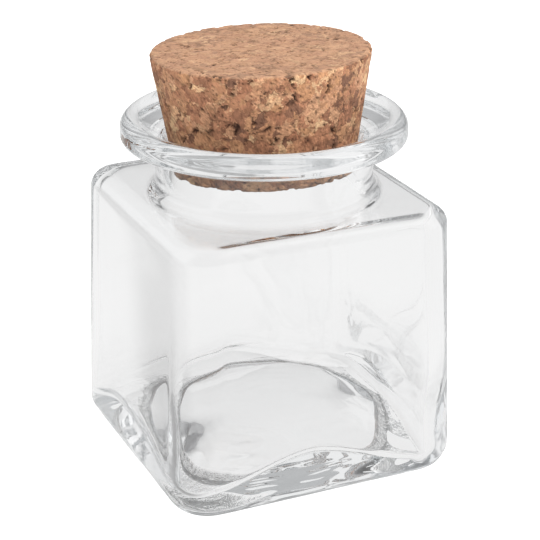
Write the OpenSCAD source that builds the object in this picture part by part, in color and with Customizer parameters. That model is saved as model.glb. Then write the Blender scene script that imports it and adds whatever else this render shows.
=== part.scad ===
// Square glass jar with a tapered cork stopper.
// The jar stands on z = 0 with its axis on z, and its wide seen side faces -Y.

/* [Body] */
// Width of the body across the foot
base_w = 51.5; // [46:0.5:60]
// Width of the body across the shoulder
shoulder_w = 48.5; // [45:0.5:56]
// Height of the shoulder above the foot
body_h = 47.2; // [36:0.2:70]
// Radius of the four upright corners at the foot
corner_r = 7.4; // [6:0.2:12]
// Radius of the rounding between the sides and the foot
foot_r = 4.6; // [2:0.2:6]
// Radius of the rounding between the sides and the shoulder
shoulder_r = 2.8; // [1:0.2:4]

/* [Glass inside] */
// Thickness of the side walls at the foot
wall = 3.9; // [2:0.1:5]
// Thickness of the side walls at the shoulder
top_wall = 1.7; // [1.4:0.1:4]
// Thickness of the glass across the shoulder
shoulder_wall = 2; // [1.5:0.1:6]
// Radius of the hollow's upright corners, where they are sharpest
inner_corner_r = 2.8; // [1.6:0.1:8]
// Radius of the hollow where its sides meet the shoulder
inner_shoulder_r = 2.4; // [1:0.1:4]
// Radius of the hollow where its sides meet the floor in the corners
inner_foot_r = 2.2; // [1:0.1:4]
// Height of the raised middle of the floor above the table
floor_h = 8.4; // [6:0.2:12]
// Height of the floor above the table down in the four corners
well_h = 2.6; // [2.2:0.1:5]
// Radius of the level part of the raised floor
floor_flat_r = 15.5; // [10:0.5:19]
// Radius of the bend at the edge of the raised floor
floor_edge_r = 15; // [8:0.5:20]

/* [Recess under the base] */
// Diameter of the round recess
recess_w = 40.6; // [20:0.2:42]
// Depth of the recess in its middle
recess_h = 1.8; // [1:0.1:3]
// Depth of the recess at its edge
recess_step_h = 0.8; // [0.2:0.1:0.9]

/* [Neck and lip] */
// Height of the neck and lip above the shoulder
neck_h = 13.2; // [10:0.2:24]
// Outer diameter of the neck
neck_w = 36.6; // [35:0.2:39]
// Radius of the hollow bend between the shoulder and the neck
neck_root_r = 2.2; // [1:0.1:3]
// Inner diameter of the neck
bore_w = 31.2; // [29:0.1:32.5]
// Radius of the bend inside, between the bore and the shoulder
inner_root_r = 3.5; // [1:0.1:4]
// Outer diameter of the lip
lip_w = 48; // [44:0.5:54]
// Height of the lip
lip_h = 4; // [3.6:0.1:6]
// Fall of the lip's underside towards the neck
lip_fall = 0.4; // [0.2:0.1:1.5]
// Radius of the lip's lower edge
lip_edge_r = 0.9; // [0.5:0.1:1.2]
// Radius of the hollow bend between the neck and the lip
under_lip_r = 1.5; // [0.8:0.1:2.2]
// Radius of the rim's round top
rim_r = 2; // [1.2:0.1:2.6]
// Radius of the bend from the mouth's funnel into the bore
mouth_r = 4; // [2:0.1:5]
// Depth below the rim at which the bore starts
mouth_depth = 6.6; // [5:0.1:8]

/* [Cork stopper] */
// Diameter of the stopper's top
cork_top_w = 36.5; // [33.5:0.1:40]
// Diameter of the stopper's lower end
cork_end_w = 30.4; // [27:0.1:30.8]
// Length of the stopper
cork_h = 19.4; // [15:0.2:30]
// Radius of the worn edges of the stopper
cork_edge_r = 0.5; // [0.2:0.1:1.5]
// Clearance around the stopper where it seats in the bore
cork_gap = 0.1; // [0.05:0.05:0.3]

/* [Hidden] */
$fn = 96;
bend_steps = 8;
// How far a cutting shape runs past the surface it cuts
past = 1;

// The corner's own axis is shared by the foot and the shoulder, so the corner is rounder at the foot.
corner_axis = base_w / 2 - corner_r;
top_corner_r = shoulder_w / 2 - corner_axis;
// The hollow leans the other way, so its corners are sharpest at its narrower end.
inner_foot_half = base_w / 2 - wall;
inner_top_half = shoulder_w / 2 - top_wall;
inner_axis = min(inner_foot_half, inner_top_half) - inner_corner_r;
ceiling_z = body_h - shoulder_wall;
jar_h = body_h + neck_h;
neck_r = neck_w / 2;
bore_r = bore_w / 2;
lip_r = lip_w / 2;
seat_z = jar_h - mouth_depth;
cork_top_r = cork_top_w / 2;
cork_end_r = cork_end_w / 2;
// The bend under the shoulder leaves room for the bend into the bore.
ceiling_bend_r = min(inner_shoulder_r, inner_top_half - bore_r - inner_root_r);
// The stopper sinks until its taper reaches the bore, less the clearance.
cork_z = seat_z - (bore_r - cork_gap - cork_end_r) * cork_h / (cork_top_r - cork_end_r);

// Points of an arc about c, from angle a0 to a1
function arc(c, r, a0, a1) = [
    for (i = [0 : bend_steps])
        let (a = a0 + (a1 - a0) * i / bend_steps)
            [c[0] + r * cos(a), c[1] + r * sin(a)]
];

// Angle of the normal of the straight line that touches circle 1 and circle 2, found from the
// distance between the centres and the difference (or, for a line that crosses, sum) of the radii
function touching_angle(c1, c2, across, side) =
    let (d = c2 - c1)
        atan2(d[1], d[0]) + side * acos(across / norm(d));

// Half section of a rounded square body: d0 and d1 are its distances from the corner's axis,
// and the bends r0 and r1 at its ends are no wider than the corner
function body_section(z0, z1, d0, d1, r0, r1) =
    let (lean = atan2(d1 - d0, z1 - z0), low = min(r0, d0), high = min(r1, d1))
        concat(
            [[0, z0]],
            arc([d0 - low, z0 + low], low, -90, -lean),
            arc([d1 - high, z1 - high], high, -lean, 90),
            [[0, z1]]
        );

// A section swept round a square with four round corners
module square_sweep(section, axis, z0, z1) {
    translate([-axis, -axis, z0])
        cube([2 * axis, 2 * axis, z1 - z0]);
    for (turn = [0 : 90 : 270])
        rotate([0, 0, turn])
            translate([axis, axis, 0]) {
                rotate_extrude(angle = 90)
                    polygon(section);
                rotate([90, 0, 0])
                    linear_extrude(2 * axis)
                        polygon(section);
            }
}

module body_block() {
    square_sweep(
        body_section(0, body_h, corner_r, top_corner_r, foot_r, shoulder_r),
        corner_axis, 0, body_h
    );
}

// The straight neck, the lip's underside and the rim, as one solid turned profile
module neck_and_lip() {
    root_c = [neck_r + neck_root_r, body_h + neck_root_r];
    lip_foot_z = jar_h - lip_h;
    under_c = [neck_r + under_lip_r, lip_foot_z - lip_fall - under_lip_r];
    edge_c = [lip_r - lip_edge_r, lip_foot_z + lip_edge_r];
    rim_c = [lip_r - rim_r, jar_h - rim_r];
    under = touching_angle(edge_c, under_c, lip_edge_r + under_lip_r, 1);
    rotate_extrude()
        polygon(concat(
            [[0, body_h - shoulder_wall / 2], [root_c[0], body_h - shoulder_wall / 2]],
            arc(root_c, neck_root_r, 270, 180),
            arc(under_c, under_lip_r, 180, 180 + under),
            arc(edge_c, lip_edge_r, under, 0),
            arc(rim_c, rim_r, 0, 90),
            [[0, jar_h]]
        ));
}

// The floor's raised middle falls away to a well in each corner.
module raised_floor() {
    rotate_extrude()
        polygon(concat(
            [[0, 0]],
            [[floor_flat_r + floor_edge_r, 0]],
            arc([floor_flat_r, floor_h - floor_edge_r], floor_edge_r, 0, 90),
            [[0, floor_h]]
        ));
}

module hollow() {
    difference() {
        square_sweep(
            body_section(
                well_h, ceiling_z, inner_foot_half - inner_axis, inner_top_half - inner_axis,
                inner_foot_r, ceiling_bend_r
            ),
            inner_axis, well_h, ceiling_z
        );
        raised_floor();
    }
}

// The bore opens into the hollow below and into the mouth's funnel above.
module bore() {
    root_c = [bore_r + inner_root_r, ceiling_z + inner_root_r];
    mouth_c = [bore_r + mouth_r, seat_z];
    rim_c = [lip_r - rim_r, jar_h - rim_r];
    funnel = touching_angle(mouth_c, rim_c, mouth_r - rim_r, 1);
    rotate_extrude()
        polygon(concat(
            [[0, ceiling_z - past], [root_c[0], ceiling_z - past]],
            arc(root_c, inner_root_r, 270, 180),
            arc(mouth_c, mouth_r, 180, funnel),
            arc(rim_c, rim_r, funnel, 90),
            [[rim_c[0], jar_h + past], [0, jar_h + past]]
        ));
}

// A round step in the base with a shallow dome above it
module recess() {
    r = recess_w / 2;
    dome_h = recess_h - recess_step_h;
    dome_r = (pow(r, 2) + pow(dome_h, 2)) / (2 * dome_h);
    reach = asin(r / dome_r);
    rotate_extrude()
        polygon(concat(
            [[0, -past], [r, -past]],
            arc([0, recess_h - dome_r], dome_r, 90 - reach, 90)
        ));
}

module glass_jar() {
    color([0.86, 0.9, 0.9, 0.45])
        difference() {
            union() {
                body_block();
                neck_and_lip();
            }
            hollow();
            bore();
            recess();
        }
}

module cork_stopper() {
    color([0.72, 0.52, 0.37])
        translate([0, 0, cork_z])
            rotate_extrude()
                polygon(concat(
                    [[0, 0]],
                    arc([cork_end_r - cork_edge_r, cork_edge_r], cork_edge_r, -90, 0),
                    arc([cork_top_r - cork_edge_r, cork_h - cork_edge_r], cork_edge_r, 0, 90),
                    [[0, cork_h]]
                ));
}

glass_jar();
cork_stopper();
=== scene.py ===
import math

import bmesh
import bpy
from mathutils import Matrix, Vector, noise


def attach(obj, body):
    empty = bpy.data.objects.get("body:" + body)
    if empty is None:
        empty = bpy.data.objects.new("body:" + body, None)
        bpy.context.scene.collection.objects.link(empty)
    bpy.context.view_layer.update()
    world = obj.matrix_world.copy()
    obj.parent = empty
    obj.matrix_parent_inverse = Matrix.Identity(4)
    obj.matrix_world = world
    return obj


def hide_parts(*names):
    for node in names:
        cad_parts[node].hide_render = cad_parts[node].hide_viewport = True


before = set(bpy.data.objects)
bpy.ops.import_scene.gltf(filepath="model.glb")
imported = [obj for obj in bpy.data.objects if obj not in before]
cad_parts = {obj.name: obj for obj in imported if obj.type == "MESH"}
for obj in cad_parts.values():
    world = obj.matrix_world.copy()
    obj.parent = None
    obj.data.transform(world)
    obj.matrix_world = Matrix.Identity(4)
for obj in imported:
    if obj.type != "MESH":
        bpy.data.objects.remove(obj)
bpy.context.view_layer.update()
print("frame loaded")

mm = 0.001
scene = bpy.context.scene
scene.view_settings.view_transform = "Standard"
# light runs a long way round inside the thick glass
scene.cycles.max_bounces = 40
scene.cycles.glossy_bounces = 40
scene.cycles.transmission_bounces = 40

# camera
cameraSettings = {
    "azimuth": -24.33,  # degrees, the wide side on the right
    "elevation": 22.61,
    "distance": 303.0 * mm,
    "lens": 117.5,
    "aimHeight": 32.0 * mm,
    "aimShift": 1.0 * mm,
}


def makeCamera(settings):
    az = math.radians(settings["azimuth"])
    el = math.radians(settings["elevation"])
    away = Vector((math.sin(az) * math.cos(el), -math.cos(az) * math.cos(el), math.sin(el)))
    right = Vector((math.cos(az), math.sin(az), 0))
    aim = Vector((0, 0, settings["aimHeight"])) + right * settings["aimShift"]
    data = bpy.data.cameras.new("camera")
    data.lens = settings["lens"]
    data.sensor_width = 36
    data.clip_start = 0.01
    data.clip_end = 50
    cam = bpy.data.objects.new("camera", data)
    scene.collection.objects.link(cam)
    cam.location = aim + away * settings["distance"]
    cam.rotation_euler = (-away).to_track_quat("-Z", "Y").to_euler()
    scene.camera = cam


makeCamera(cameraSettings)
print("camera placed")


# shared helpers
def nodeMaker(tree):
    tree.nodes.clear()

    def add(kind, inputs=None, **props):
        node = tree.nodes.new(kind)
        for key, value in props.items():
            setattr(node, key, value)
        for key, value in (inputs or {}).items():
            if isinstance(value, bpy.types.NodeSocket):
                tree.links.new(value, node.inputs[key])
            else:
                node.inputs[key].default_value = value
        return node

    return add


def ranged(add, value, fromRange, toRange=(0.0, 1.0), **props):
    ends = dict(zip(("From Min", "From Max", "To Min", "To Max"), (*fromRange, *toRange)))
    return add("ShaderNodeMapRange", {"Value": value, **ends}, **props).outputs["Result"]


def bend(centre, radius, start, end, steps):
    # points (x, z) of an arc, angles in degrees
    out = []
    for i in range(steps + 1):
        a = math.radians(start + (end - start) * i / steps)
        out.append((centre[0] + radius * math.cos(a), centre[1] + radius * math.sin(a)))
    return out


def touchingAngle(one, two, across, side):
    dx, dz = two[0] - one[0], two[1] - one[1]
    return math.degrees(math.atan2(dz, dx) + side * math.acos(across / math.hypot(dx, dz)))


def squarePoint(angle, half, corner):
    # where a ray at this angle meets a square of this half width with round corners
    quarter = math.pi / 2
    turn = math.floor(angle / quarter)
    a = angle - turn * quarter
    folded = min(a, quarter - a)
    flat = half - corner
    if half * math.tan(folded) <= flat:
        reach = half / math.cos(folded)
    else:
        along = flat * (math.cos(a) + math.sin(a))
        reach = along + math.sqrt(max(0, along * along - 2 * flat * flat + corner * corner))
    return reach * math.cos(angle), reach * math.sin(angle)


def fade(t):
    t = min(max(t, 0), 1)
    return t * t * (3 - 2 * t)


def ringMesh(columns, rings, crowd=0.0):
    # rings of (half, corner, height) from one pole to the other, in millimetres; the height may be
    # a function of x and y, and then a fourth entry may give half, corner and shift by height;
    # crowd draws the columns together towards the four corners; marks are the verts of each ring
    bm = bmesh.new()
    half, corner, z = rings[0]
    bmesh.ops.create_circle(bm, cap_ends=True, cap_tris=True, segments=columns, radius=half)
    for v in bm.verts:
        if v.co.length > half / 2:
            u = math.atan2(v.co.y, v.co.x)
            angle = u + crowd / 4 * math.sin(4 * u)
            v.co = (half * math.cos(angle), half * math.sin(angle), 0)
    bmesh.ops.translate(bm, verts=bm.verts, vec=(0, 0, z))
    edges = [e for e in bm.edges if e.is_boundary]
    marks = []
    for half, corner, height, *wall in rings[1:]:
        made = bmesh.ops.extrude_edge_only(bm, edges=edges)["geom"]
        verts = {v for v in made if isinstance(v, bmesh.types.BMVert)}
        edges = [e for e in made if isinstance(e, bmesh.types.BMEdge) and verts.issuperset(e.verts)]
        for v in verts:
            angle = math.atan2(v.co.y, v.co.x)
            x, y = squarePoint(angle, half, corner)
            z = height(x, y) if callable(height) else height
            if wall:
                wallHalf, wallCorner, aside, back = wall[0](z)
                x, y = squarePoint(angle, wallHalf, wallCorner)
                x, y = x + aside, y + back
            v.co = (x, y, z)
        marks.append(verts)
    made = bmesh.ops.extrude_edge_only(bm, edges=edges)["geom"]
    capVerts = [v for v in made if isinstance(v, bmesh.types.BMVert)]
    middle = sum((v.co for v in capVerts), Vector()) / len(capVerts)
    bmesh.ops.pointmerge(bm, verts=capVerts, merge_co=middle)
    return bm, marks


def finishMesh(bm, name, levels):
    bmesh.ops.scale(bm, vec=(mm, mm, mm), verts=bm.verts)
    bmesh.ops.recalc_face_normals(bm, faces=bm.faces)
    mesh = bpy.data.meshes.new(name)
    bm.to_mesh(mesh)
    bm.free()
    for p in mesh.polygons:
        p.use_smooth = True
    piece = bpy.data.objects.new(name, mesh)
    scene.collection.objects.link(piece)
    if levels:
        sub = piece.modifiers.new("smooth", "SUBSURF")
        sub.levels = levels
        sub.render_levels = levels
    return piece


# glass jar
jar = {
    "columns": 176,
    "crowd": 0.65,
    "footHalf": 25.75,
    "shoulderHalf": 24.25,
    "cornerAxis": 18.35,
    "bodyHeight": 47.2,
    "footBend": 4.6,
    "shoulderBend": 2.8,
    "recessRadius": 20.3,
    "recessStep": 0.8,
    "recessHeight": 1.8,
    "fineRecess": {"from": 7, "step": 0.8, "rings": 16},  # closer rings, where the ripples lie
    "neckRadius": 18.3,
    "waistBend": 2.2,
    "lipRadius": 24.0,
    "rimBend": 2.0,
    "lipHeight": 4.0,
    "lipEdge": 0.9,
    "lipDrop": 0.4,  # how far the underside of the lip falls towards the neck
    "underBend": 1.5,
    "jarHeight": 60.4,
    "boreRadius": 15.6,
    "mouthBend": 4.0,
    "mouthDepth": 6.6,
    "rootBend": 3.5,
    "ceiling": 45.7,
    "innerShoulderBend": 1.3,
    "softerLeft": 0.7,  # how much wider that bend is on the left, and narrower on the right
    "glass": (2.1, 2.2, 3.2),  # thickness under the shoulder, half-way up and at the foot
    "thinsFrom": 37,  # height above which the wall thins towards the shoulder
    "thickTo": 7,  # height up to which it keeps its thickness at the foot
    "innerTopCorner": 5.4,
    "innerFootCorner": 3.6,
    "innerFootBend": 2.2,
    "footShift": (-0.75, 0.6),  # near the foot the hollow lies a little to the left and back
    "floorHeight": 8.4,
    "floorTilt": (-0.02, 0.0),
    "floorFall": 0.0012,
    # how far the glass strays from its plain form: on the sides, near the shoulder, near the foot
    "outerWave": (0.0, 0.02, 0.05),
    "innerWave": (0.0, 0.02, 0.05),
    "neckWave": 0.015,
    "waveSize": 13.0,
    "rippleSize": 2.3,  # fine rings in the base, like those round a dropped stone
    "rippleHeight": 0.09,
    "rippleTo": 7,  # height below which the ripples lie
    "grainTo": 1.5,  # height below which the outside is grained
    "grainWidth": 0.45,  # full grain this far to each side of the recess's edge
    "bearing": 0.15,  # how coarse the underside is outside the recess
}
# how far the floor drops into each corner well, and how wide the well is
wells = {
    "frontRight": {"at": (22.6, -22.6), "drop": 5.2, "reach": 26},
    "frontLeft": {"at": (-22.6, -22.6), "drop": 4.6, "reach": 24},
    "backLeft": {"at": (-22.6, 22.6), "drop": 4.2, "reach": 17},
    "backRight": {"at": (22.6, 22.6), "drop": 3.8, "reach": 20},
}


def between(a, b, steps):
    return [tuple(p + (q - p) * i / steps for p, q in zip(a, b)) for i in range(1, steps)]


def outerRings(s):
    axis = s["cornerAxis"]
    rings = []
    dome = s["recessHeight"] - s["recessStep"]
    domeRadius = (s["recessRadius"] ** 2 + dome ** 2) / (2 * dome)
    fine = s["fineRecess"]
    for r in [0.6, 2, 4, 6] + [fine["from"] + fine["step"] * i for i in range(fine["rings"])]:
        z = s["recessHeight"] - domeRadius + math.sqrt(domeRadius ** 2 - r * r)
        rings.append((r, r, z))
    # the step round the recess
    r, z = s["recessRadius"], s["recessStep"]
    rings += [(r - 0.6, r - 0.6, z), (r - 0.3, r - 0.3, z * 0.85)]
    rings += [(r, r, z * 0.2), (r + 0.25, r + 0.25, 0.03)]
    rings.append((r + 0.5, r - 1, 0))
    footFlat = s["footHalf"] - s["footBend"]
    rings.append((r + 0.65, 8.0, 0))
    rings.append((footFlat, footFlat - axis, 0))
    foot = bend((s["footHalf"] - axis - s["footBend"], s["footBend"]), s["footBend"], -78, 2, 10)
    rings += [(axis + d, d, z) for d, z in foot]
    shoulderCentre = (s["shoulderHalf"] - axis - s["shoulderBend"], s["bodyHeight"] - s["shoulderBend"])
    shoulder = bend(shoulderCentre, s["shoulderBend"], 2, 90, 7)
    rings += between(rings[-1], (axis + shoulder[0][0], shoulder[0][0], shoulder[0][1]), 7)
    rings += [(axis + d, d, z) for d, z in shoulder]
    waist = (s["neckRadius"] + s["waistBend"], s["bodyHeight"] + s["waistBend"])
    lipFoot = s["jarHeight"] - s["lipHeight"]
    edge = (s["lipRadius"] - s["lipEdge"], lipFoot + s["lipEdge"])
    below = (s["neckRadius"] + s["underBend"], lipFoot - s["lipDrop"] - s["underBend"])
    rim = (s["lipRadius"] - s["rimBend"], s["jarHeight"] - s["rimBend"])
    mouth = (s["boreRadius"] + s["mouthBend"], s["jarHeight"] - s["mouthDepth"])
    rings += between(rings[-1], (waist[0], waist[0], s["bodyHeight"]), 3)
    under = touchingAngle(edge, below, s["lipEdge"] + s["underBend"], 1)
    funnel = touchingAngle(mouth, rim, s["mouthBend"] - s["rimBend"], 1)
    turned = bend(waist, s["waistBend"], 270, 180, 6)
    turned += between(turned[-1], (s["neckRadius"], below[1]), 3)
    turned += bend(below, s["underBend"], 180, 180 + under, 5)
    turned += bend(edge, s["lipEdge"], under, 0, 5)
    turned += bend(rim, s["rimBend"], 10, funnel, 8)
    rings += [(r, r, z) for r, z in turned]
    return rings, mouth, funnel


def floorAt(s, x, y):
    # height of the inside of the floor, in millimetres
    z = s["floorHeight"] + s["floorTilt"][0] * x + s["floorTilt"][1] * y - s["floorFall"] * (x * x + y * y)
    for well in wells.values():
        away = math.hypot(x - well["at"][0], y - well["at"][1])
        z -= well["drop"] * (1 - fade(away / well["reach"]))
    return z


def wallAt(s, z):
    # half width and corner of the hollow at a height: the glass is even in thickness half-way up,
    # thinner under the shoulder and thicker near the foot
    low, high = s["footBend"], s["bodyHeight"] - s["shoulderBend"]
    outer = s["footHalf"] + (s["shoulderHalf"] - s["footHalf"]) * (z - low) / (high - low)
    topGlass, sideGlass, footGlass = s["glass"]
    up = fade((z - s["thinsFrom"]) / 8)
    down = 1 - fade((z - s["thickTo"]) / 12)
    thick = sideGlass + (topGlass - sideGlass) * up + (footGlass - sideGlass) * down
    corner = s["innerTopCorner"] + (s["innerFootCorner"] - s["innerTopCorner"]) * down
    return outer - thick, corner, s["footShift"][0] * down, s["footShift"][1] * down


def innerRings(s, mouth, funnel):
    turned = bend(mouth, s["mouthBend"], funnel, 180, 5)
    rings = [(r, r, z) for r, z in turned]
    root = (s["boreRadius"] + s["rootBend"], s["ceiling"] + s["rootBend"])
    turned = bend(root, s["rootBend"], 180, 270, 6)
    rings += between(rings[-1], (turned[0][0], turned[0][0], turned[0][1]), 3)
    rings += [(r, r, z) for r, z in turned]
    bendRadius, softer = s["innerShoulderBend"], s["softerLeft"]
    top = s["ceiling"] - bendRadius
    topHalf, topCorner = wallAt(s, top)[:2]
    rings += between(rings[-1], (topHalf - bendRadius, topCorner - bendRadius, s["ceiling"]), 4)
    for i in range(7):
        a = math.radians(86 - 86 * i / 6)
        inset = bendRadius * (1 - math.cos(a))
        ring = topHalf - inset, topCorner - inset, softer * (1 - math.cos(a)), 0
        rings.append((
            ring[0], ring[1],
            lambda x, y, fall=1 - math.sin(a): s["ceiling"] - (bendRadius - softer * x / topHalf) * fall,
            lambda z, ring=ring: ring,
        ))
    foot = s["innerFootBend"]
    steps = 12
    for i in range(1, steps + 1):
        t = i / steps
        half, corner = wallAt(s, top + (s["floorHeight"] + foot - top) * t)[:2]
        rings.append((
            half, corner, lambda x, y, t=t: top + (floorAt(s, x, y) + foot - top) * t, lambda z: wallAt(s, z),
        ))
    for i in range(1, 9):
        a = math.radians(90 * i / 8)
        inset = foot * (1 - math.cos(a))
        lift = foot * (1 - math.sin(a))
        half, corner = (v - inset for v in wallAt(s, s["floorHeight"] + lift)[:2])
        rings.append((
            half, corner, lambda x, y, lift=lift: floorAt(s, x, y) + lift,
            lambda z, inset=inset: [v - d for v, d in zip(wallAt(s, z), (inset, inset, 0, 0))],
        ))
    half, corner = rings[-1][:2]
    for i in range(1, 9):
        t = i / 9
        wide, bent = half + (6 - half) * t, corner + (6 - corner) * t
        now = wide, bent, s["footShift"][0] * (1 - t), s["footShift"][1] * (1 - t)
        rings.append((wide, bent, lambda x, y: floorAt(s, x, y), lambda z, now=now: now))
    rings += [(r, r, lambda x, y: floorAt(s, x, y)) for r in (5, 3, 0.8)]
    return rings


def waveAt(s, place, amounts):
    # slow unevenness of the glass, by the amounts on the sides, near the shoulder and near the foot
    side, top, foot = amounts
    amount = side + (top - side) * fade((place.z - 39) / 4) + (foot - side) * (1 - fade((place.z - 3) / 9))
    if place.z > s["bodyHeight"] - 1:
        amount = s["neckWave"]
    scaled = place / s["waveSize"]
    return (noise.noise(scaled + Vector((7, 3, 1))) + 0.5 * noise.noise(scaled * 2.3)) * amount


def rippleAt(s, place):
    # fine rings in the base, between square and round, calm in the recess except near its front
    r = math.hypot(place.x, place.y)
    path = max(abs(place.x), abs(place.y)) * 0.6 + r * 0.4 + place.z * 0.7
    bent = path + 1.4 * noise.noise(place / 9 + Vector((1, 5, 2)))
    strength = 0.5 + noise.noise(place / 6 + Vector((8, 8, 3)))
    calm = fade((s["recessRadius"] - r) / 3) * fade((place.y + 14) / 8)
    strength *= (1 - fade((place.z - 5) / 3)) * (1 - 0.9 * calm)
    return s["rippleHeight"] * strength * math.sin(bent / s["rippleSize"] * 2 * math.pi)


def makeJar(s):
    outside, mouth, funnel = outerRings(s)
    inside = innerRings(s, mouth, funnel)
    bm, marks = ringMesh(s["columns"], outside + inside, s["crowd"])
    innerVerts = set()
    for verts in marks[len(outside) - 1:]:
        innerVerts |= verts
    # the floor's pole belongs to no ring
    overRecess = s["recessHeight"] + 0.5
    innerVerts |= {v for v in bm.verts if math.hypot(v.co.x, v.co.y) < 0.4 and v.co.z > overRecess}
    bmesh.ops.recalc_face_normals(bm, faces=bm.faces)
    bm.normal_update()
    coarse = bm.verts.layers.float.new("coarse")
    moves = {}
    for v in bm.verts:
        inner = v in innerVerts
        if not inner and v.co.z < s["grainTo"]:
            fromStep = abs(math.hypot(v.co.x, v.co.y) - s["recessRadius"])
            v[coarse] = 1 - fade((fromStep - s["grainWidth"]) / 0.6)
            if v.co.z < 0.1:
                v[coarse] = max(v[coarse], s["bearing"])
        shift = waveAt(s, v.co, s["innerWave"] if inner else s["outerWave"])
        if not inner and v.co.z < s["rippleTo"]:
            shift += rippleAt(s, v.co)
        moves[v] = v.normal * shift
    for v, move in moves.items():
        v.co += move
    return finishMesh(bm, "glassJar", 1)


def glassMaterial():
    mat = bpy.data.materials.new("clearMouldedGlass")
    mat.use_nodes = True
    tree = mat.node_tree
    add = nodeMaker(tree)
    place = add("ShaderNodeTexCoord").outputs["Object"]
    # the step round the recess is coarse, with a grain that catches the light
    grain = add("ShaderNodeTexNoise", {"Vector": place, "Scale": 2200, "Detail": 3, "Roughness": 0.7})
    coarse = add("ShaderNodeAttribute", attribute_name="coarse")
    lumps = add("ShaderNodeTexNoise", {"Vector": place, "Scale": 650, "Detail": 2})
    both = add("ShaderNodeMath", {
        0: lumps.outputs["Fac"], 1: 2.5, 2: grain.outputs["Fac"],
    }, operation="MULTIPLY_ADD")
    grainHeight = add("ShaderNodeMath", {0: both.outputs[0], 1: coarse.outputs["Fac"]}, operation="MULTIPLY")
    bump = add("ShaderNodeBump", {"Height": grainHeight.outputs[0], "Strength": 0.9, "Distance": 0.0009})
    rough = add("ShaderNodeMath", {0: coarse.outputs["Fac"], 1: 0.4}, operation="MULTIPLY")
    surface = add("ShaderNodeBsdfPrincipled", {
        "Base Color": (1, 1, 1, 1),
        "Transmission Weight": 1.0,
        "IOR": 1.5,
        "Roughness": rough.outputs[0],
        "Normal": bump.outputs["Normal"],
    })
    clear = add("ShaderNodeBsdfTransparent", {"Color": (0.9, 0.92, 0.92, 1)})
    path = add("ShaderNodeLightPath")
    mixed = add("ShaderNodeMixShader", {
        0: path.outputs["Is Shadow Ray"], 1: surface.outputs[0], 2: clear.outputs[0],
    })
    tint = add("ShaderNodeVolumeAbsorption", {"Color": (0.95, 0.962, 0.968, 1), "Density": 16})
    add("ShaderNodeOutputMaterial", {"Surface": mixed.outputs[0], "Volume": tint.outputs[0]})
    return mat


glassPiece = makeJar(jar)
glassPiece.data.materials.append(glassMaterial())
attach(glassPiece, "jar")
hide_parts("glass_jar")
print("glass jar made:", len(glassPiece.data.polygons), "faces")

# cork stopper
cork = {
    "columns": 384,
    "bottom": 51.9,
    "height": 19.4,
    "endRadius": 15.2,
    "topRadius": 18.25,
    "edge": 0.5,
    "sideRings": 72,
    "topRings": 66,
    "granule": 2.6,  # usual width of a granule
    "relief": 0.07,  # how far the granules stand proud of each other
    "seam": 0.1,  # depth of the seams between them
    "pit": 0.55,  # depth of the deepest holes
    "speck": 0.12,  # depth of the small specks
    "chip": 0.35,  # depth of the chips along the edges
    "chipWidth": 1.3,  # how far from the edge the chips reach
    "lean": (1.8, 1.2),  # degrees to the left and to the back, as seen by the camera
    "sink": 0.2,
    "pivot": 53.8,
}


def corkRings(s):
    top = s["bottom"] + s["height"]
    rings = [(r, r, s["bottom"]) for r in (0.6, 2.5, 4.5, 6.5, 8.5, 10.5, 12, 13, 13.8)]
    low = bend((s["endRadius"] - s["edge"], s["bottom"] + s["edge"]), s["edge"], -90, 0, 3)
    high = bend((s["topRadius"] - s["edge"], top - s["edge"]), s["edge"], 0, 90, 3)
    rings += [(r, r, z) for r, z in low]
    rings += between(rings[-1], (high[0][0], high[0][0], high[0][1]), s["sideRings"])
    rings += [(r, r, z) for r, z in high]
    flat = s["topRadius"] - s["edge"]
    rings += [(flat * i / s["topRings"],) * 2 + (top,) for i in range(s["topRings"] - 1, 0, -1)]
    return rings


def corkShape(s, place, onTop):
    # how far the surface lies below the plain form at a place, and how dark to paint it there: painted shade
    # in the holes, with darker seams and specks
    slow = place * 0.55
    grain = Vector((noise.noise(slow), noise.noise(slow + Vector((9, 2, 4))), noise.noise(place * 0.5)))
    fine = noise.noise(place * 3.7 + Vector((5, 5, 5)))
    near, cells = noise.voronoi(place / s["granule"] + grain * 0.35)
    border = near[1] - near[0]
    level = noise.noise(cells[0] * 7.3)
    loose = fade((noise.noise(place * 0.31 + Vector((3, 8, 1))) + 0.25) / 0.5)
    seam = (1 - fade(border / 0.16)) * (0.25 + 0.75 * loose)
    ragged = place + grain * 0.9 + Vector((fine, -fine, fine)) * 0.5
    hole = fade((noise.noise(ragged * 0.62 + Vector((1, 6, 2))) - 0.36) / 0.14)
    hole *= fade((noise.noise(ragged * 1.7) + 0.2) / 0.4)
    speck = fade((noise.noise(place * 2.1 + Vector((4, 4, 9))) - 0.42) / 0.12)
    calm = 0.45 if onTop else 1.0
    plain = s["relief"] * calm * (0.7 * level + 0.5 * fine)
    depth = plain + s["seam"] * calm * seam + s["pit"] * calm * hole + s["speck"] * speck
    return depth, min(1, 0.35 * seam * loose + hole + 0.8 * speck)


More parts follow.
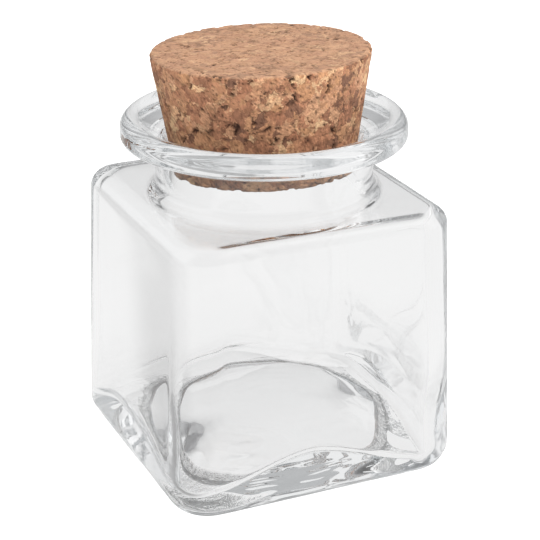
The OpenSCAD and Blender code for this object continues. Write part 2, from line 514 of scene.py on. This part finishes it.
def makeCork(s):
    bm = ringMesh(s["columns"], corkRings(s))[0]
    bmesh.ops.recalc_face_normals(bm, faces=bm.faces)
    bm.normal_update()
    top = s["bottom"] + s["height"]
    pitShadeLayer = bm.verts.layers.float.new("pit")
    faces = bm.verts.layers.float.new("topFace")
    moves = {}
    for v in bm.verts:
        onTop = v.co.z > top - 0.2
        depth, dark = corkShape(s, v.co, onTop)
        edgeGap = math.hypot(math.hypot(v.co.x, v.co.y) - s["topRadius"], v.co.z - top)
        if v.co.z < s["bottom"] + 4:
            edgeGap = math.hypot(math.hypot(v.co.x, v.co.y) - s["endRadius"], v.co.z - s["bottom"])
        chip = fade((noise.noise(v.co * 0.7 + Vector((2, 1, 7))) - 0.05) / 0.35)
        chip *= 1 - fade(edgeGap / s["chipWidth"])
        moves[v] = v.normal * -(depth + s["chip"] * chip)
        # painted shade: how dark the holes are painted, together with the darker seams and specks
        v[pitShadeLayer] = dark
        v[faces] = 1.0 if onTop else 0.0
    for v, move in moves.items():
        v.co += move
    # pushed in by hand, a little askew
    pivot = Vector((0, 0, s["pivot"]))
    view = math.radians(cameraSettings["azimuth"])
    backwards = Vector((-math.sin(view), math.cos(view), 0))
    sideways = Vector((math.cos(view), math.sin(view), 0))
    left, back = (math.radians(a) for a in s["lean"])
    turn = Matrix.Rotation(-left, 3, backwards) @ Matrix.Rotation(-back, 3, sideways)
    bmesh.ops.rotate(bm, verts=bm.verts, cent=pivot, matrix=turn)
    bmesh.ops.translate(bm, verts=bm.verts, vec=(0, 0, -s["sink"]))
    return finishMesh(bm, "corkStopper", 0)


def corkMaterial():
    mat = bpy.data.materials.new("agglomeratedCork")
    mat.use_nodes = True
    add = nodeMaker(mat.node_tree)
    coords = add("ShaderNodeTexCoord")
    place = coords.outputs["Object"]
    # granules with ragged outlines, in two sizes
    warp = add("ShaderNodeTexNoise", {"Vector": place, "Scale": 520, "Detail": 4, "Roughness": 0.65})
    half = (0.5, 0.5, 0.5)
    centred = add("ShaderNodeVectorMath", {0: warp.outputs["Color"], 1: half}, operation="SUBTRACT")
    shift = add("ShaderNodeVectorMath", {0: centred.outputs[0], "Scale": 0.0035}, operation="SCALE")
    ragged = add("ShaderNodeVectorMath", {0: place, 1: shift.outputs[0]}, operation="ADD").outputs[0]
    cells = add("ShaderNodeTexVoronoi", {"Vector": ragged, "Scale": 380})
    small = add("ShaderNodeTexVoronoi", {"Vector": ragged, "Scale": 900})
    edges = add("ShaderNodeTexVoronoi", {"Vector": ragged, "Scale": 380}, feature="DISTANCE_TO_EDGE")
    chance = add("ShaderNodeSeparateColor", {"Color": cells.outputs["Color"]})
    smallChance = add("ShaderNodeSeparateColor", {"Color": small.outputs["Color"]})
    mixing = add("ShaderNodeMath", {0: smallChance.outputs[1], 1: 0.62}, operation="GREATER_THAN")
    pick = add("ShaderNodeMix", {
        "Factor": mixing.outputs[0], 2: chance.outputs[0], 3: smallChance.outputs[0],
    })
    tone = add("ShaderNodeValToRGB", {"Fac": pick.outputs[0]})
    ramp = tone.color_ramp
    tones = {
        0.0: (0.155, 0.075, 0.045), 0.18: (0.27, 0.12, 0.065), 0.38: (0.33, 0.155, 0.085),
        0.58: (0.37, 0.19, 0.095), 0.78: (0.40, 0.21, 0.12), 0.93: (0.45, 0.255, 0.14),
        1.0: (0.53, 0.34, 0.19),
    }
    ramp.elements[0].color = (*tones[0.0], 1)
    ramp.elements[1].color = (*tones[1.0], 1)
    for at, colour in tones.items():
        if 0 < at < 1:
            ramp.elements.new(at).color = (*colour, 1)
    # fibres run their own way in each granule
    turn = add("ShaderNodeVectorRotate", {
        "Vector": place, "Rotation": cells.outputs["Color"],
    }, rotation_type="EULER_XYZ")
    stretch = add("ShaderNodeMapping", {"Vector": turn.outputs[0], "Scale": (1, 1, 0.16)})
    fibre = add("ShaderNodeTexNoise", {
        "Vector": stretch.outputs[0], "Scale": 3400, "Detail": 3, "Distortion": 0.6,
    })
    broad = add("ShaderNodeTexNoise", {"Vector": place, "Scale": 1500, "Detail": 5, "Roughness": 0.7})
    fibreShade = ranged(add, fibre.outputs["Fac"], (0.32, 0.68), (0.72, 1.26))
    broadShade = ranged(add, broad.outputs["Fac"], (0.3, 0.7), (0.7, 1.28))
    shade = add("ShaderNodeMath", {0: fibreShade, 1: broadShade}, operation="MULTIPLY")
    # seams show here and there only
    patch = add("ShaderNodeTexNoise", {"Vector": place, "Scale": 260, "Detail": 3})
    patchy = ranged(add, patch.outputs["Fac"], (0.42, 0.6), (1.0, 0.45))
    seam = ranged(add, edges.outputs["Distance"], (0.0, 0.07), (patchy, 1.0))
    toned = add("ShaderNodeMath", {0: shade.outputs[0], 1: seam}, operation="MULTIPLY")
    body = add("ShaderNodeVectorMath", {
        0: tone.outputs["Color"], "Scale": toned.outputs[0],
    }, operation="SCALE")
    # the sanded top has short streaks along x over its granules
    onTop = add("ShaderNodeAttribute", attribute_name="topFace")
    streaks = add("ShaderNodeMapping", {"Vector": ragged, "Scale": (0.22, 1, 1)})
    streak = add("ShaderNodeTexNoise", {
        "Vector": streaks.outputs[0], "Scale": 1900, "Detail": 4, "Roughness": 0.6,
    })
    streakTone = ranged(add, streak.outputs["Fac"], (0.3, 0.7), (0.72, 1.16))
    sandedColour = (0.44, 0.27, 0.17)
    sanded = add("ShaderNodeVectorMath", {0: sandedColour, "Scale": streakTone}, operation="SCALE")
    pale = add("ShaderNodeMix", {"Factor": 0.52, 6: sanded.outputs[0], 7: body.outputs[0]}, data_type="RGBA")
    face = add("ShaderNodeMix", {
        "Factor": onTop.outputs["Fac"], 6: body.outputs[0], 7: pale.outputs[2],
    }, data_type="RGBA")
    # painted shade: the holes are painted nearly black inside, and seams and specks are darker
    hole = add("ShaderNodeAttribute", attribute_name="pit")
    holeShadeColour = (0.035, 0.014, 0.008, 1)
    holeShaded = add("ShaderNodeMix", {
        "Factor": hole.outputs["Fac"], 6: face.outputs[2], 7: holeShadeColour,
    }, data_type="RGBA")
    bump = add("ShaderNodeBump", {"Height": toned.outputs[0], "Strength": 0.55, "Distance": 0.0002})
    surface = add("ShaderNodeBsdfPrincipled", {
        "Base Color": holeShaded.outputs[2],
        "Roughness": 0.88,
        "Normal": bump.outputs["Normal"],
    })
    add("ShaderNodeOutputMaterial", {"Surface": surface.outputs[0]})
    return mat


corkPiece = makeCork(cork)
corkPiece.data.materials.append(corkMaterial())
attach(corkPiece, "stopper")
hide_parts("cork_stopper")
print("cork stopper made:", len(corkPiece.data.polygons), "faces")

# floor, backdrop and light
stage = {
    "floorSize": 3.0,
    "ambient": 0.75,
    # brightness of the floor where glass shows it, by distance from the jar: a painted shadow darkens it
    # close to the jar, and it grows darker again further off; the camera sees it white
    "floorSeen": {0.0: 0.84, 0.035: 0.87, 0.07: 0.91, 0.3: 0.82, 1.0: 0.72},
    # a painted shadow on the floor, seen only in glass:
    # past this line the floor is darker, to glass only; it was placed for the photograph's view,
    # where the left face mirrors it, and from other sides it shows as a grey shape
    "shadeEdge": {
        "at": (-0.025, -0.011, 0), "across": (-0.944, -0.33, 0), "soft": 3 * mm, "dark": 0.45,
        "frontFade": (-28 * mm, -40 * mm),  # in front of the jar it fades out between these depths
    },
    # brightness of the room where glass shows it, by height above the horizon; the camera sees it white
    "roomSeen": {
        0.0: (0.12, 0.12, 0.12), 0.2: (0.24, 0.24, 0.245), 0.4: (0.5, 0.505, 0.51), 0.8: (0.46, 0.465, 0.47),
    },
}
# panes of light in the room, which only glass shows: towards where, how wide, how bright
panes = {
    "right": {"towards": (0.89, -0.41, 0.2), "from": 0.55, "to": 0.68, "colour": (1.1, 1.1, 1.1)},
    "left": {"towards": (-0.9, 0.3, 0.3), "from": 0.55, "to": 0.68, "colour": (0.85, 0.86, 0.87)},
    "front": {"towards": (-0.4, -0.88, 0.25), "from": 0.45, "to": 0.7, "colour": (0.25, 0.25, 0.25)},
}


def rampOf(add, value, stops):
    node = add("ShaderNodeValToRGB", {"Fac": value})
    places = sorted(stops)
    for n, at in enumerate(places):
        tone = stops[at] if isinstance(stops[at], tuple) else (stops[at],) * 3
        element = node.color_ramp.elements[n] if n < 2 else node.color_ramp.elements.new(at)
        element.position = at
        element.color = (*tone, 1)
    return node.outputs["Color"]


def glassRay(add, path):
    # 1 for a ray that comes off or through glass
    return add("ShaderNodeMath", {
        0: path.outputs["Is Glossy Ray"], 1: path.outputs["Is Transmission Ray"],
    }, operation="MAXIMUM")


def floorMaterial(s):
    mat = bpy.data.materials.new("paleFloor")
    mat.use_nodes = True
    add = nodeMaker(mat.node_tree)
    path = add("ShaderNodeLightPath")
    plain = add("ShaderNodeBsdfDiffuse", {"Color": (0.8, 0.8, 0.8, 1)})
    lift = add("ShaderNodeEmission", {"Color": (1, 1, 1, 1), "Strength": 0.35})
    seen = add("ShaderNodeAddShader", {0: plain.outputs[0], 1: lift.outputs[0]})
    coords = add("ShaderNodeTexCoord")
    place = coords.outputs["Object"]
    away = add("ShaderNodeVectorMath", {0: place}, operation="LENGTH")
    # painted shadow: past the shade edge the floor is darker where glass shows it, fading out in front of the
    # jar
    edge = s["shadeEdge"]
    fromEdge = add("ShaderNodeVectorMath", {0: place, 1: edge["at"]}, operation="SUBTRACT")
    across = add("ShaderNodeVectorMath", {0: fromEdge.outputs[0], 1: edge["across"]}, operation="DOT_PRODUCT")
    shade = ranged(
        add, across.outputs["Value"], (-edge["soft"], edge["soft"]), (1.0, edge["dark"]),
        interpolation_type="SMOOTHSTEP",
    )
    split = add("ShaderNodeSeparateXYZ", {"Vector": place})
    front = ranged(add, split.outputs["Y"], edge["frontFade"])
    shaded = add("ShaderNodeMath", {0: shade, 1: front}, operation="MAXIMUM")
    # the floor as glass shows it, an emission with painted shadow close to the jar and past the shade edge
    through = add("ShaderNodeEmission", {
        "Color": rampOf(add, away.outputs["Value"], s["floorSeen"]), "Strength": shaded.outputs[0],
    })
    isGlass = glassRay(add, path)
    first = add("ShaderNodeMixShader", {
        0: path.outputs["Is Camera Ray"], 1: plain.outputs[0], 2: seen.outputs[0],
    })
    both = add("ShaderNodeMixShader", {0: isGlass.outputs[0], 1: first.outputs[0], 2: through.outputs[0]})
    add("ShaderNodeOutputMaterial", {"Surface": both.outputs[0]})
    return mat


def makeFloor(s):
    bm = bmesh.new()
    bmesh.ops.create_circle(bm, cap_ends=True, segments=96, radius=s["floorSize"])
    mesh = bpy.data.meshes.new("floor")
    bm.to_mesh(mesh)
    bm.free()
    floor = bpy.data.objects.new("floor", mesh)
    scene.collection.objects.link(floor)
    floor.data.materials.append(floorMaterial(s))


def makeWorld(s):
    world = bpy.data.worlds.new("studio")
    scene.world = world
    world.use_nodes = True
    add = nodeMaker(world.node_tree)
    path = add("ShaderNodeLightPath")
    coords = add("ShaderNodeTexCoord")
    split = add("ShaderNodeSeparateXYZ", {"Vector": coords.outputs["Generated"]})
    tone = rampOf(add, split.outputs["Z"], s["roomSeen"])
    for pane in panes.values():
        facing = add("ShaderNodeVectorMath", {
            0: coords.outputs["Generated"], 1: pane["towards"],
        }, operation="DOT_PRODUCT")
        ends = (pane["from"], pane["to"])
        edge = ranged(add, facing.outputs["Value"], ends, interpolation_type="SMOOTHSTEP")
        mixed = add("ShaderNodeMix", {"Factor": edge, 6: tone, 7: (*pane["colour"], 1)}, data_type="RGBA")
        tone = mixed.outputs[2]
    room = add("ShaderNodeBackground", {"Color": tone, "Strength": 1.0})
    ambient = add("ShaderNodeBackground", {"Color": (1, 1, 1, 1), "Strength": s["ambient"]})
    white = add("ShaderNodeBackground", {"Color": (1, 1, 1, 1), "Strength": 1.0})
    isGlass = glassRay(add, path)
    one = add("ShaderNodeMixShader", {0: isGlass.outputs[0], 1: ambient.outputs[0], 2: room.outputs[0]})
    two = add("ShaderNodeMixShader", {
        0: path.outputs["Is Camera Ray"], 1: one.outputs[0], 2: white.outputs[0],
    })
    add("ShaderNodeOutputWorld", {"Surface": two.outputs[0]})


lamps = {
    "keyRight": {"at": (0.45, -0.35, 0.5), "size": 0.35, "power": 6.0},
    "fillLeft": {"at": (-0.5, -0.4, 0.35), "size": 0.4, "power": 3.0},
    "top": {"at": (0.0, 0.15, 0.7), "size": 0.5, "power": 1.2},
}


def makeLamps(settings):
    for name, s in settings.items():
        data = bpy.data.lights.new(name, "AREA")
        data.size = s["size"]
        data.energy = s["power"]
        lamp = bpy.data.objects.new(name, data)
        lamp.visible_transmission = False
        lamp.visible_glossy = False
        scene.collection.objects.link(lamp)
        lamp.location = s["at"]
        towards = Vector((0, 0, 0.035)) - Vector(s["at"])
        lamp.rotation_euler = towards.to_track_quat("-Z", "Y").to_euler()


makeFloor(stage)
makeWorld(stage)
makeLamps(lamps)
print("stage and lamps ready")
